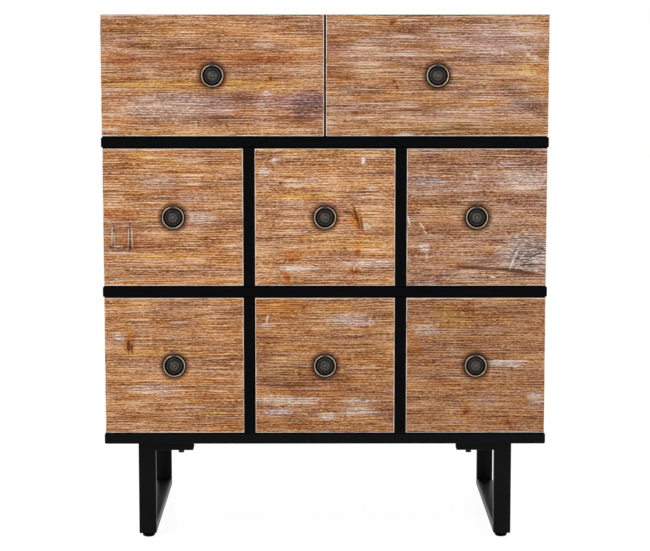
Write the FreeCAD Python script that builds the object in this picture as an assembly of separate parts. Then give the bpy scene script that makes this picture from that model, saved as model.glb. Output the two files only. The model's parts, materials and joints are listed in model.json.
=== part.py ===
import FreeCAD, Part
import math
import os

os.makedirs("parts", exist_ok=True)

Vec = FreeCAD.Vector

# Case and its boards
case_width = 760.0
case_depth = 420.0
board = 18.0
side_inset = 1.0
board_arris = 1.8
housing_depth = 5.0
housing_stop = 12.0
back_thick = 4.0
back_rebate = 9.0
top_lip = 0.5

# Drawer fronts and the gaps round them
front_thick = 18.0
top_front_height = 204.0
row_front_height = 234.0
front_gap = 1.7
post_gap = 1.0
centre_gap = 3.6
top_reveal = 1.2
row_reveal = 2.0
front_arris = 0.8
closed_gap = 0.5

# Drawer boxes
box_side_thick = 12.0
box_side_gap = 1.5
box_lift = 0.3
box_top_gap = 6.0
bottom_thick = 4.0
bottom_groove_depth = 6.0
bottom_groove_up = 8.0
bottom_play = 0.3

# Ring pulls, with heights measured out from the drawer front
plate_radius = 20.4
plate_edge = 1.0
plate_bevel = 0.8
plate_thick = 1.6
dome_radius = 14.0
dome_shoulder_radius = 13.2
dome_shoulder_out = 3.2
dome_crown_radius = 6.0
dome_crown_out = 4.6
bead_radius = 2.4
bead_rise = 0.9
ring_outer_radius = 19.0
ring_wire = 2.5
ring_eye_gap = 0.6
eye_width = 8.0
eye_wall = 1.0
eye_corner = 1.5
eye_root = 0.5
pull_screw_radius = 2.0
pull_screw_reach = 2.5
pull_screw_head_radius = 4.0
pull_screw_head = 2.4

# Leg frames of rectangular steel tube
leg_inset = 56.5
leg_setback = 18.0
leg_height = 162.0
tube_wide = 30.0
tube_thick = 15.0
tube_wall = 1.5
tube_arris = 1.2
arm_length = 65.0

# Screws and threaded inserts that hold the arms to the bottom board
leg_screw_radius = 3.0
leg_screw_from_end = 21.5
leg_screw_head_radius = 5.0
leg_screw_head = 6.0
leg_screw_socket_radius = 2.9
leg_screw_socket_depth = 3.0
leg_screw_into_board = 12.0
insert_radius = 5.0
insert_length = 13.0

# Levelling feet
foot_height = 9.0
foot_gap = 0.3
foot_radius = 10.6
foot_face_radius = 8.6
foot_edge = 1.8
foot_shoulder = 1.2
foot_from_end = 19.5
foot_stem_radius = 3.0
foot_stem_length = 13.0

# Wooden dowels between the side panels and the top and bottom boards
dowel_radius = 4.0
dowel_length = 30.0
dowel_in_board = 12.0
dowel_from_edge = 70.0

# Clearances of the screws, stems and dowels
screw_play = 0.3
snug = 0.05
running = 0.08
hole_end_play = 0.5

# Flats that the small round pieces are cut into
plate_sides = 32
ring_runs = 24
ring_wire_sides = 8
foot_sides = 24
small_sides = 12
socket_sides = 6

# Levels above the floor
leg_base = foot_height
case_base = leg_base + leg_height
bottom_top = case_base + board
lower_shelf_low = bottom_top + row_front_height + 2 * front_gap
lower_shelf_top = lower_shelf_low + board
upper_shelf_low = lower_shelf_top + row_front_height + 2 * front_gap
upper_shelf_top = upper_shelf_low + board
case_top = upper_shelf_top + front_gap + top_front_height + top_lip
top_board_low = case_top - board

# Depths: the origin is midway between the proudest point of the pulls and the back of the case
ring_radius = ring_outer_radius - ring_wire / 2
eye_hole_radius = ring_wire / 2 + ring_eye_gap
ring_out = plate_thick + eye_hole_radius
eye_out = ring_out + eye_hole_radius + eye_wall
face_y = -(case_depth - eye_out) / 2
rear_y = face_y + case_depth
front_back_y = face_y + front_thick
carcass_y = front_back_y + closed_gap
inner_rear_y = rear_y - back_thick
box_rear_y = inner_rear_y - closed_gap
leg_front_y = face_y + leg_setback
leg_rear_y = rear_y - leg_setback

# Widths to each side of the middle
half_width = case_width / 2
side_out = half_width - side_inset
side_in = side_out - board
row_front_width = (case_width - 2 * row_reveal - 2 * (board + 2 * post_gap)) / 3
divider_x = row_front_width / 2 + post_gap + board / 2
top_front_width = (case_width - 2 * top_reveal - centre_gap) / 2
leg_out = half_width - leg_inset
leg_in = leg_out - tube_wide
arm_end = leg_in - arm_length


def block(x_span, y_span, z_span):
    """A square-edged piece between three pairs of limits."""
    size = [high - low for low, high in (x_span, y_span, z_span)]
    return Part.makeBox(*size, Vec(x_span[0], y_span[0], z_span[0]))


def mirrored(span):
    """The same limits on the other side of the middle."""
    return (-span[1], -span[0])


def inset(span, by):
    """The same limits drawn in at both ends, or let out where the amount is negative."""
    return (span[0] + by, span[1] - by)


def near(a, b):
    return abs(a - b) < 1e-6


def eased(shape, size, wanted):
    """Takes a small arris off the edges whose list of end points passes the test."""
    edges = [e for e in shape.Edges if wanted([v.Point for v in e.Vertexes])]
    return shape.makeChamfer(size, edges)


def save(name, *solids):
    """Writes one solid, or several as a group, as one node."""
    shape = solids[0] if len(solids) == 1 else Part.makeCompound(list(solids))
    shape.exportStep("parts/" + name + ".step")


def turned(profile, sides):
    """A turned form about +Z with its round cut into flats, from (radius, height) pairs."""
    levels = []
    for radius, height in profile:
        turns = [2 * math.pi * k / sides for k in range(sides)]
        levels.append([Vec(radius * math.cos(t), radius * math.sin(t), height) for t in turns])
    faces = []
    for low, high in zip(levels, levels[1:]):
        for k in range(sides):
            corners = [low[k], low[k - 1], high[k - 1], high[k]]
            if low[k] == low[k - 1]:
                corners = [low[k], high[k - 1], high[k]]
            if high[k] == high[k - 1]:
                corners = [low[k], low[k - 1], high[k]]
            faces.append(Part.Face(Part.makePolygon(corners + corners[:1])))
    return solid_from(faces)


def hoop(radius, wire_radius, runs, sides):
    """A closed ring in the XY plane: straight runs of a many-sided wire with mitred joints."""
    sections = []
    for k in range(runs):
        turn = 2 * math.pi * (k + 0.5) / runs
        section = []
        for j in range(sides):
            around = 2 * math.pi * (j + 0.5) / sides
            reach = (radius + wire_radius * math.cos(around)) / math.cos(math.pi / runs)
            height = wire_radius * math.sin(around)
            section.append(Vec(reach * math.sin(turn), reach * math.cos(turn), height))
        sections.append(section)
    faces = []
    for k in range(runs):
        for j in range(sides):
            here = sections[k]
            back = sections[k - 1]
            corners = [here[j], here[j - 1], back[j - 1], back[j]]
            faces.append(Part.Face(Part.makePolygon(corners + corners[:1])))
    return solid_from(faces)


def solid_from(faces):
    """The solid inside a closed set of flat faces, with faces in one plane joined."""
    shell = Part.Shell(faces)
    shell.sewShape()
    solid = Part.Solid(shell)
    if solid.Volume < 0:
        solid.reverse()
    return solid.removeSplitter()


def upright(profile, sides, x, y):
    """A turned form that stands at x and y."""
    shape = turned(profile, sides)
    shape.translate(Vec(x, y, 0))
    return shape


def rod(radius, x, y, z_low, z_high, sides=small_sides):
    """An upright round rod, or the tool for a round hole."""
    return upright([(0, z_low), (radius, z_low), (radius, z_high), (0, z_high)], sides, x, y)


def outwards(shape, x, z):
    """Lays a form made about +Z with +Y up so that it points out of the drawer front."""
    shape.rotate(Vec(0, 0, 0), Vec(1, 0, 0), 90)
    shape.translate(Vec(x, face_y, z))
    return shape


# Places


def drawer_places():
    """Each drawer's name, floor, headroom, inner limits in x, and front limits in x and z."""
    top_room = top_board_low - upper_shelf_top
    row_room = lower_shelf_low - bottom_top
    top_z = (upper_shelf_top + front_gap, case_top - top_lip)
    inner = (board / 2, side_in)
    front = (centre_gap / 2, centre_gap / 2 + top_front_width)
    places = [
        ("top_left", upper_shelf_top, top_room, mirrored(inner), mirrored(front), top_z),
        ("top_right", upper_shelf_top, top_room, inner, front, top_z),
    ]
    outer_x = half_width - row_reveal
    inner = (divider_x + board / 2, side_in)
    front = (outer_x - row_front_width, outer_x)
    mid_inner = (-divider_x + board / 2, divider_x - board / 2)
    mid_front = (-row_front_width / 2, row_front_width / 2)
    for row, floor in (("middle", lower_shelf_top), ("bottom", bottom_top)):
        row_z = (floor + front_gap, floor + front_gap + row_front_height)
        left = (row + "_left", floor, row_room, mirrored(inner), mirrored(front), row_z)
        centre = (row + "_centre", floor, row_room, mid_inner, mid_front, row_z)
        right = (row + "_right", floor, row_room, inner, front, row_z)
        places += [left, centre, right]
    return places


def divider_places():
    """Each divider's name, middle in x, front edge and limits in z."""
    places = [("top_divider", 0.0, carcass_y, (upper_shelf_top, top_board_low))]
    middle_z = (lower_shelf_top, upper_shelf_low)
    bottom_z = (bottom_top, lower_shelf_low)
    for row, z_span in (("middle", middle_z), ("bottom", bottom_z)):
        places.append((row + "_divider_left", -divider_x, face_y, z_span))
        places.append((row + "_divider_right", divider_x, face_y, z_span))
    return places


def leg_screw_places():
    """The middle of each screw that holds a leg frame's arm."""
    x = arm_end + leg_screw_from_end
    ys = (leg_front_y + tube_wide / 2, leg_rear_y - tube_wide / 2)
    return [(side * x, y) for side in (-1, 1) for y in ys]


def dowel_places():
    """The middle of each dowel in the side panels' ends."""
    x = (side_in + side_out) / 2
    ys = (carcass_y + dowel_from_edge, inner_rear_y - dowel_from_edge)
    return [(side * x, y) for side in (-1, 1) for y in ys]


def foot_ys():
    """The middle of the front and the rear foot of a leg frame."""
    return {"front": leg_front_y + foot_from_end, "rear": leg_rear_y - foot_from_end}


# Case


def divider_tongue(x, front_y, z_span):
    """The part of a divider that is let into the boards above and below it."""
    y_span = (front_y + housing_stop, inner_rear_y)
    return block((x - board / 2, x + board / 2), y_span, inset(z_span, -housing_depth))


def divider(x, front_y, z_span):
    """An upright board between two drawers, with its tongues stopped short of the front."""
    panel = block((x - board / 2, x + board / 2), (front_y, inner_rear_y), z_span)
    return panel.fuse(divider_tongue(x, front_y, z_span)).removeSplitter()


def housed(shape):
    """The board with housings for the divider tongues that reach into it."""
    for name, x, front_y, z_span in divider_places():
        shape = shape.cut(divider_tongue(x, front_y, z_span))
    return shape


def shelf(z_low):
    """A shelf whose front strip runs full width, across the side panels' front edges."""
    z_span = (z_low, z_low + board)
    strip = block((-half_width, half_width), (face_y, carcass_y), z_span)
    strip = eased(strip, board_arris, lambda ends: any(near(p.y, face_y) for p in ends))
    reach = side_in + housing_depth
    inner = block((-reach, reach), (carcass_y, inner_rear_y), z_span)
    return housed(strip.fuse(inner).removeSplitter())


def back_panel():
    """The thin back, let into rebates all round."""
    reach = side_in + back_rebate
    z_span = (bottom_top - back_rebate, top_board_low + back_rebate)
    return block((-reach, reach), (inner_rear_y, rear_y), z_span)


def end_board(front_y, z_low, dowel_z):
    """The top or the bottom board, full width, with its rebate, housings and dowel holes."""
    z_span = (z_low, z_low + board)
    shape = block((-half_width, half_width), (front_y, rear_y), z_span)
    shape = eased(shape, board_arris, lambda ends: any(near(p.y, front_y) for p in ends))
    shape = housed(shape.cut(back_panel()))
    for x, y in dowel_places():
        shape = shape.cut(rod(dowel_radius + snug, x, y, *dowel_z))
    return shape


def top_board():
    dowel_z = (top_board_low, top_board_low + dowel_in_board + hole_end_play)
    return end_board(carcass_y, top_board_low, dowel_z)


def bottom_board():
    """The board that the case stands on, with holes for the threaded inserts."""
    dowel_z = (bottom_top - dowel_in_board - hole_end_play, bottom_top)
    shape = end_board(face_y, case_base, dowel_z)
    for x, y in leg_screw_places():
        insert_z = (case_base, case_base + insert_length + hole_end_play)
        shape = shape.cut(rod(insert_radius + snug, x, y, *insert_z))
    return shape


def side_panel(side):
    """A full-height side, with grooves for the shelves, a rebate and dowel holes."""
    x_span = (side_in, side_out) if side > 0 else mirrored((side_in, side_out))
    shape = block(x_span, (carcass_y, rear_y), (bottom_top, top_board_low))
    shape = shape.cut(back_panel())
    shape = shape.cut(shelf(lower_shelf_low)).cut(shelf(upper_shelf_low))
    in_panel = dowel_length - dowel_in_board + hole_end_play
    for x, y in dowel_places():
        shape = shape.cut(rod(dowel_radius + snug, x, y, bottom_top, bottom_top + in_panel))
        shape = shape.cut(rod(dowel_radius + snug, x, y, top_board_low - in_panel, top_board_low))
    return shape


def dowels():
    """The dowels that pin the side panels to the top and bottom boards."""
    lows = (bottom_top - dowel_in_board, top_board_low + dowel_in_board - dowel_length)
    return [
        rod(dowel_radius, x, y, low, low + dowel_length) for x, y in dowel_places() for low in lows
    ]


def save_case():
    save("top_board", top_board())
    save("bottom_board", bottom_board())
    save("lower_shelf", shelf(lower_shelf_low))
    save("upper_shelf", shelf(upper_shelf_low))
    save("left_side", side_panel(-1))
    save("right_side", side_panel(1))
    save("back_panel", back_panel())
    save("case_dowels", *dowels())
    for name, x, front_y, z_span in divider_places():
        save(name, divider(x, front_y, z_span))


# Legs


def tube_edges(ends):
    """Whether an edge runs along one of the two faces of a leg frame's loop."""
    return all(near(p.x, leg_in) for p in ends) or all(near(p.x, leg_out) for p in ends)


def leg_loop():
    """The closed loop of tube, hollow all round."""
    y_span = (leg_front_y, leg_rear_y)
    z_span = (leg_base, case_base)
    opening = (inset(y_span, tube_thick), inset(z_span, tube_thick))
    loop = block((leg_in, leg_out), y_span, z_span)
    loop = loop.cut(block((leg_in, leg_out), *opening))
    loop = eased(loop, tube_arris, tube_edges)
    bore_x = inset((leg_in, leg_out), tube_wall)
    bore = block(bore_x, inset(y_span, tube_wall), inset(z_span, tube_wall))
    around_opening = [inset(span, -tube_wall) for span in opening]
    return loop.cut(bore.cut(block(bore_x, *around_opening)))


def leg_arm(y_low):
    """A short tube that reaches inwards under the bottom board, open at its end."""
    x_span = (arm_end, leg_in + tube_wall)
    y_span = (y_low, y_low + tube_wide)
    z_span = (case_base - tube_thick, case_base)
    arm = block(x_span, y_span, z_span)
    arm = eased(arm, tube_arris, lambda ends: not near(ends[0].x, ends[-1].x))
    return arm.cut(block((arm_end, leg_in), inset(y_span, tube_wall), inset(z_span, tube_wall)))


def leg_frame():
    """The right leg frame: a loop with two arms, drilled for its screws and feet."""
    frame = leg_loop()
    for y_low in (leg_front_y, leg_rear_y - tube_wide):
        frame = frame.fuse(leg_arm(y_low))
    frame = frame.removeSplitter()
    for x, y in leg_screw_places():
        screw_z = (case_base - tube_thick, case_base)
        frame = frame.cut(rod(leg_screw_radius + screw_play, x, y, *screw_z))
    wall_z = (leg_base, leg_base + tube_wall)
    for y in foot_ys().values():
        x = (leg_in + leg_out) / 2
        frame = frame.cut(rod(foot_stem_radius + running, x, y, *wall_z, foot_sides))
    return frame


def leg_screw(x, y):
    """A socket-head screw up through an arm into the bottom board."""
    under = case_base - tube_thick
    low = under - leg_screw_head
    tip = case_base + leg_screw_into_board
    profile = [
        (0, low),
        (leg_screw_head_radius, low),
        (leg_screw_head_radius, under),
        (leg_screw_radius, under),
        (leg_screw_radius, tip),
        (0, tip),
    ]
    deep = low + leg_screw_socket_depth
    socket = [(0, low), (leg_screw_socket_radius, low), (leg_screw_socket_radius, deep), (0, deep)]
    return upright(profile, small_sides, x, y).cut(upright(socket, socket_sides, x, y))


def leg_insert(x, y):
    """A threaded insert sunk in the bottom board round a leg screw."""
    sleeve = rod(insert_radius, x, y, case_base, case_base + insert_length)
    return sleeve.cut(rod(leg_screw_radius + snug, x, y, case_base, case_base + insert_length))


def level_foot(x, y):
    """A foot on a threaded stem that screws into the underside of a leg frame."""
    top = foot_height - foot_gap
    stem_top = leg_base + foot_stem_length
    profile = [
        (0, 0),
        (foot_face_radius, 0),
        (foot_radius, foot_edge),
        (foot_radius, top - foot_shoulder),
        (foot_radius - foot_shoulder, top),
        (foot_stem_radius, top),
        (foot_stem_radius, stem_top),
        (0, stem_top),
    ]
    return upright(profile, foot_sides, x, y)


def save_legs():
    right = leg_frame()
    save("right_leg_frame", right)
    save("left_leg_frame", right.mirror(Vec(0, 0, 0), Vec(1, 0, 0)))
    screws = [leg_screw(x, y) for x, y in leg_screw_places()]
    inserts = [leg_insert(x, y) for x, y in leg_screw_places()]
    save("leg_fasteners", *screws, *inserts)
    x = (leg_in + leg_out) / 2
    for end, y in foot_ys().items():
        save("foot_" + end + "_left", level_foot(-x, y))
        save("foot_" + end + "_right", level_foot(x, y))


# Drawers


def drawer_front(front_x, front_z, groove):
    """The wooden front, with a groove for the bottom panel and a hole for the pull's screw."""
    shape = block(front_x, (face_y, front_back_y), front_z)
    shape = eased(shape, front_arris, lambda ends: all(near(p.y, face_y) for p in ends))
    bore = rod(pull_screw_radius + screw_play, 0, 0, -front_thick, 0)
    return shape.cut(groove).cut(outwards(bore, sum(front_x) / 2, sum(front_z) / 2))


def drawer_walls(box_x, box_z, groove):
    """The two sides and the back, which stands on the bottom panel."""
    y_span = (front_back_y, box_rear_y)
    left_in, right_in = inset(box_x, box_side_thick)
    left = block((box_x[0], left_in), y_span, box_z).cut(groove)
    right = block((right_in, box_x[1]), y_span, box_z).cut(groove)
    panel_top = box_z[0] + bottom_groove_up + bottom_thick
    back_y = (box_rear_y - box_side_thick, box_rear_y)
    back = block((left_in, right_in), back_y, (panel_top, box_z[1]))
    return left, right, back


def pull_plate(x, z):
    """The round backplate with its stepped dome, and the eye that the ring hangs in."""
    profile = [
        (0, 0),
        (plate_radius, 0),
        (plate_radius, plate_edge),
        (plate_radius - plate_bevel, plate_thick),
        (dome_radius, plate_thick),
        (dome_shoulder_radius, dome_shoulder_out),
        (dome_crown_radius, dome_crown_out),
        (bead_radius, dome_crown_out),
        (0, dome_crown_out + bead_rise),
    ]
    half_high = eye_hole_radius + eye_wall
    eye_outline = [
        (-half_high, eye_root),
        (-half_high, eye_out - eye_corner),
        (-half_high + eye_corner, eye_out),
        (half_high - eye_corner, eye_out),
        (half_high, eye_out - eye_corner),
        (half_high, eye_root),
    ]
    corners = [Vec(-eye_width / 2, ring_radius + up, out) for up, out in eye_outline]
    eye = Part.Face(Part.makePolygon(corners + corners[:1])).extrude(Vec(eye_width, 0, 0))
    reach = eye_hole_radius / math.cos(math.pi / small_sides)
    eye_hole = rod(reach, 0, 0, 0, eye_width)
    eye_hole.rotate(Vec(0, 0, 0), Vec(0, 1, 0), 90)
    eye_hole.translate(Vec(-eye_width / 2, ring_radius, ring_out))
    bore_radius = pull_screw_radius + snug
    bore_depth = pull_screw_reach + hole_end_play
    bore = rod(bore_radius, 0, 0, 0, bore_depth)
    plate = turned(profile, plate_sides).fuse(eye).removeSplitter().cut(eye_hole).cut(bore)
    return outwards(plate, x, z)


def pull_screw(x, z):
    """The screw from inside the drawer that holds the backplate."""
    inside = -front_thick
    low = inside - pull_screw_head
    profile = [
        (0, low),
        (pull_screw_head_radius, low),
        (pull_screw_head_radius, inside),
        (pull_screw_radius, inside),
        (pull_screw_radius, pull_screw_reach),
        (0, pull_screw_reach),
    ]
    return outwards(turned(profile, small_sides), x, z)


def pull_ring(x, z):
    """The ring, hanging from the eye round the dome."""
    ring = hoop(ring_radius, ring_wire / 2, ring_runs, ring_wire_sides)
    ring.translate(Vec(0, 0, ring_out))
    return outwards(ring, x, z)


def save_drawer(name, floor, room, inner_x, front_x, front_z):
    box_x = inset(inner_x, box_side_gap)
    box_z = (floor + box_lift, floor + room - box_top_gap)
    panel_low = box_z[0] + bottom_groove_up
    groove_x = inset(box_x, box_side_thick - bottom_groove_depth)
    groove_front = front_back_y - bottom_groove_depth
    groove_z = (panel_low, panel_low + bottom_thick + bottom_play)
    groove = block(groove_x, (groove_front, box_rear_y), groove_z)
    panel_y = (groove_front + bottom_play, box_rear_y)
    panel_z = (panel_low, panel_low + bottom_thick)
    panel = block(inset(groove_x, bottom_play), panel_y, panel_z)
    x = sum(front_x) / 2
    z = sum(front_z) / 2
    save("drawer_front_" + name, drawer_front(front_x, front_z, groove))
    save("drawer_box_" + name, *drawer_walls(box_x, box_z, groove))
    save("drawer_bottom_" + name, panel)
    save("pull_plate_" + name, pull_plate(x, z), pull_screw(x, z))
    save("pull_ring_" + name, pull_ring(x, z))


save_case()
save_legs()
for place in drawer_places():
    save_drawer(*place)

print("case", case_width, case_depth, "top at", case_top)
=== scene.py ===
import json
import math

import bmesh
import bpy
import numpy as np
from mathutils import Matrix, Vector


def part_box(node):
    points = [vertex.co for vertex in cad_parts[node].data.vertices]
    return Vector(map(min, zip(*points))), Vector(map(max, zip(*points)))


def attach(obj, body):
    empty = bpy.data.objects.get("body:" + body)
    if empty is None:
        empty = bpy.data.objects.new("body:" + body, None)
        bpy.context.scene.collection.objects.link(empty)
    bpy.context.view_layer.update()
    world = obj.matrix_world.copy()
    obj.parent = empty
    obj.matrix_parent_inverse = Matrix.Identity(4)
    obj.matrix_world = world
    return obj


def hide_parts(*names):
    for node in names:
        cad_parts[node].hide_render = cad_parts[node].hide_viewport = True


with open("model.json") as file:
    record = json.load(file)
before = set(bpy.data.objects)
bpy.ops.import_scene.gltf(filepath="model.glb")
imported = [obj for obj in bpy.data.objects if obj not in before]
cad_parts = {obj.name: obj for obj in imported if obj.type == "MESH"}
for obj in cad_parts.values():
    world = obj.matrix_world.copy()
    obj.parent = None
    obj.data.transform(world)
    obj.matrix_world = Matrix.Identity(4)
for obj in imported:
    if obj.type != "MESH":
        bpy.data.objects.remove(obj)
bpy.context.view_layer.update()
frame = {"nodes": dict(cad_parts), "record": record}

MM = 0.001
ORIGIN = (0.0, 0.0, 0.0)

# Camera, at the photograph's place: metres, degrees down and to the right, and millimetres
CAMERA_PLACE = (-0.01306, -3.641, 0.8763)
CAMERA_DOWN, CAMERA_RIGHT = 6.852, 0.218
CAMERA_LENS, CAMERA_SENSOR = 112.13, 36.0

# Steel legs, whose measures are in millimetres, as are those of the other parts
LEG_BASE, CASE_BASE = 9.0, 171.0
LEG_FRONT, LEG_REAR = -188.85, 195.15
LEG_IN, LEG_OUT = 293.5, 323.5
TUBE_WIDE, TUBE_THICK, TUBE_WALL = 30.0, 15.0, 1.5
TUBE_ROUND, BORE_ROUND = 1.8, 0.4
ARM_END, ARM_LAP = 228.5, 1.0

# Levelling feet: place, and profile of radius and height
FOOT_X = 308.5
FOOT_Y = {"front": -169.35, "rear": 175.65}
FOOT_SIDES = 64
FOOT_PROFILE = (
    (0, 0), (8.2, 0), (8.7, 0.25), (9.6, 1.0), (10.4, 1.5), (10.6, 2.0), (10.6, 7.0),
    (10.3, 7.9), (9.5, 8.5), (8.6, 8.7), (3.0, 8.7), (3.0, 22.0), (0, 22.0),
)

# Drawer fronts: grid cell across and up, arris, and how deep the brushed hollows are and how far
# from the rim they reach that depth
FRONT_CELL = (3.0, 1.3)
FRONT_ROUND, ROUND_STEPS = 0.9, 4
BRUSH_DEPTH, BRUSH_FADE = 0.22, 3.0

# Noise in the hollows: cell across and up, and height or share
BRUSH_DRIFT = (70.0, 40.0, 4.0)
BRUSH_HOLLOWS = ((26.0, 3.2, 0.6), (60.0, 7.0, 0.4))
NOISE_CELLS, SEED_STEP = 256, 20

# Ring pulls, with heights out from the drawer front
RING_RADIUS, RING_WIRE, RING_OUT = 17.75, 1.25, 3.45
RING_STEPS, WIRE_STEPS = 128, 20
EYE_HALF, EYE_HALF_WIDTH, EYE_BEVEL = 2.85, 4.0, 0.6
EYE_HOLE, HOLE_FLARE, HOLE_BEVEL = 1.85, 0.25, 0.4
EYE_STEPS = 40

# Backplates: radius and height round the rim and up the dome's step, then the dome's ridges, the
# bead on its top and the fine reeding, whose bands have a radius and a share
PLATE_SIDES, PLATE_RADIUS = 144, 20.4
PLATE_RIM = (
    (0.0, 0.0), (20.1, 0.0), (20.4, 0.3), (20.4, 0.9), (20.0, 1.35), (19.4, 1.6),
    (18.6, 1.5), (15.0, 1.45), (14.2, 1.6), (14.0, 2.0), (13.7, 2.8), (13.3, 3.15),
)
DOME_OUTER, DOME_INNER, DOME_STEPS = 12.9, 2.9, 41
DOME_LOW, DOME_RISE, DOME_REACH = 3.2, 1.4, 10.4
RIDGE_DEPTH, RIDGE_PITCH, RIDGE_RADIUS = 0.22, 2.4, 12.6
BEAD_RADIUS, BEAD_LOW, BEAD_RISE, BEAD_STEPS = 2.4, 4.45, 1.0, 8
REEDS, REED_HEIGHT = 36, 0.12
REED_BANDS = ((10.2, 1.0), (5.4, 0.6))

# How far the dark finish is rubbed off the backplate, by distance from its middle, off the reeds,
# off the eye from one height over a run of height up to a most, and off the ring by a share of a
# turned sine, less a constant
PLATE_WEAR = (
    (0.0, 0.9), (1.5, 0.8), (2.6, 0.25), (5.0, 0.38), (7.5, 0.36), (9.6, 0.10),
    (11.2, 0.08), (12.4, 0.32), (13.3, 0.22), (14.0, 0.02), (20.4, 0.0),
)
REED_WEAR = 0.25
EYE_WEAR_FROM, EYE_WEAR_RUN, EYE_WEAR_MOST = 4.8, 1.5, 0.35
RING_WEAR, RING_WEAR_TURN, RING_WEAR_LESS = 2.2, 0.15, 1.05

# Screw behind each backplate: radius and height
SCREW_SIDES = 32
SCREW_PROFILE = (
    (0, -20.4), (3.4, -20.4), (4.0, -19.9), (4.0, -18.0), (2.0, -18.0), (2.0, 1.2), (0, 1.2),
)

DRAWERS = (
    "top_left", "top_right", "middle_left", "middle_centre", "middle_right",
    "bottom_left", "bottom_centre", "bottom_right",
)


# Node trees


def rgba(value):
    """A colour of three numbers with its alpha added; anything else passes through."""
    return (*value, 1.0) if isinstance(value, tuple) and len(value) == 3 else value


class Net:
    """A shader node tree being filled in. Each call places nodes and gives back an output."""

    def __init__(self, tree):
        self.tree = tree

    def place(self, kind, inputs=(), **settings):
        node = self.tree.nodes.new("ShaderNode" + kind)
        for key, value in settings.items():
            setattr(node, key, value)
        for key, value in dict(inputs).items():
            socket = node.inputs[key]
            if isinstance(value, bpy.types.NodeSocket):
                self.tree.links.new(value, socket)
            else:
                socket.default_value = rgba(value) if socket.type == "RGBA" else value
        return node

    def group(self, tree, inputs):
        """Places a shared group and gives back its outputs."""
        return self.place("Group", inputs, node_tree=tree).outputs

    def feed(self, sockets, values):
        """Joins outputs to sockets by name."""
        for label, value in values.items():
            self.tree.links.new(value, sockets[label])

    def math(self, operation, a, b=0.0):
        return self.place("Math", {0: a, 1: b}, operation=operation).outputs[0]

    def add(self, a, b):
        return self.math("ADD", a, b)

    def less(self, a, b):
        return self.math("SUBTRACT", a, b)

    def times(self, a, b):
        return self.math("MULTIPLY", a, b)

    def vector(self, operation, a, b):
        return self.place("VectorMath", {0: a, 1: b}, operation=operation).outputs[0]

    def split(self, vector):
        return self.place("SeparateXYZ", {0: vector}).outputs

    def join(self, x, y, z):
        return self.place("CombineXYZ", {0: x, 1: y, 2: z}).outputs[0]

    def noise(self, vector, stretch, detail, rough):
        """Noise with so many cells to the metre along x, y and z."""
        scaled = self.place("Mapping", {"Vector": vector, "Scale": stretch}).outputs[0]
        inputs = {"Vector": scaled, "Scale": 1.0, "Detail": detail, "Roughness": rough}
        return self.place("TexNoise", inputs).outputs[0]

    def between(self, value, low, high, to_low=0.0, to_high=1.0):
        """The value carried from one range over to another, and held inside it."""
        return self.place("MapRange", {0: value, 1: low, 2: high, 3: to_low, 4: to_high}).outputs[0]

    def ramp(self, value, stops):
        """Colours by value, between stops of place and colour."""
        node = self.place("ValToRGB", {0: value})
        band = node.color_ramp
        while len(band.elements) < len(stops):
            band.elements.new(0.5)
        for element, (place, colour) in zip(band.elements, stops):
            element.position = place
            element.color = rgba(colour)
        return node.outputs[0]

    def patches(self, vector, stretch, detail, rough, none, full, most):
        """How strong an effect is that a noise lays on in patches."""
        return self.between(self.noise(vector, stretch, detail, rough), none, full, 0.0, most)

    def mix(self, factor, a, b, blend="MIX"):
        inputs = {0: factor, 6: a, 7: b}
        settings = {"data_type": "RGBA", "blend_type": blend}
        return self.place("Mix", inputs, **settings).outputs[2]

    def tinted(self, factor, colour, tint):
        """A colour, multiplied by a tint as far as the factor says."""
        return self.mix(factor, colour, tint, "MULTIPLY")

    def layers(self, vectors, layers):
        """The sum of several noises, each with its vector, stretch, detail, roughness and share."""
        total = None
        for vector, (stretch, detail, rough, share) in zip(vectors, layers):
            part = self.times(self.noise(vector, stretch, detail, rough), share)
            total = part if total is None else self.add(total, part)
        return total

    def bump(self, height, strength, distance_mm):
        inputs = {"Height": height, "Strength": strength, "Distance": distance_mm * MM}
        return self.place("Bump", inputs).outputs[0]


def new_group(name, inputs, outputs):
    """An empty group with named sockets: its net, its inputs and its output node's sockets."""
    tree = bpy.data.node_groups.new(name, "ShaderNodeTree")
    for label, value in inputs.items():
        kind = "NodeSocketVector" if isinstance(value, tuple) else "NodeSocketFloat"
        socket = tree.interface.new_socket(label, in_out="INPUT", socket_type=kind)
        socket.default_value = value
    for label in outputs:
        kind = "NodeSocketColor" if label == "Colour" else "NodeSocketFloat"
        tree.interface.new_socket(label, in_out="OUTPUT", socket_type=kind)
    net = Net(tree)
    given = tree.nodes.new("NodeGroupInput").outputs
    made = tree.nodes.new("NodeGroupOutput").inputs
    return net, given, made


def new_material(name, **constants):
    """A material: itself, its net, its Principled sockets and the object's own coordinates."""
    material = bpy.data.materials.new(name)
    material.use_nodes = True
    net = Net(material.node_tree)
    shader = material.node_tree.nodes["Principled BSDF"].inputs
    for key, value in constants.items():
        shader[key.replace("_", " ")].default_value = value
    place = net.place("TexCoord").outputs["Object"]
    return material, net, shader, place


# Effects that several finishes share

# Layers of noise in the wood: cells to the metre along x, y and z, detail, roughness and share
GRAIN_LINES = (
    ((165, 900, 1350), 1, 0.6, 0.66),
    ((15, 800, 1250), 1, 0.6, 0.18),
    ((38, 850, 1300), 1, 0.6, 0.08),
    ((26, 200, 260), 1, 0.6, 0.08),
)
RING_BENDS = (((9, 60, 110), 2, 0.6, 14.0), ((130, 200, 240), 1, 0.6, 6.0))
TONE_BANDS = (((3.5, 30, 55), 3, 0.65, 0.6), ((14, 30, 40), 2, 0.6, 0.4))
HUE_BANDS = (((5, 30, 48), 2, 0.6, 0.55), ((30, 70, 120), 2, 0.6, 0.45))

# How the grain wanders up and down: its noise, and how far in metres
GRAIN_WANDER = ((7, 14, 22), 1, 0.5)
GRAIN_DRIFT = 0.0022

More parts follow.
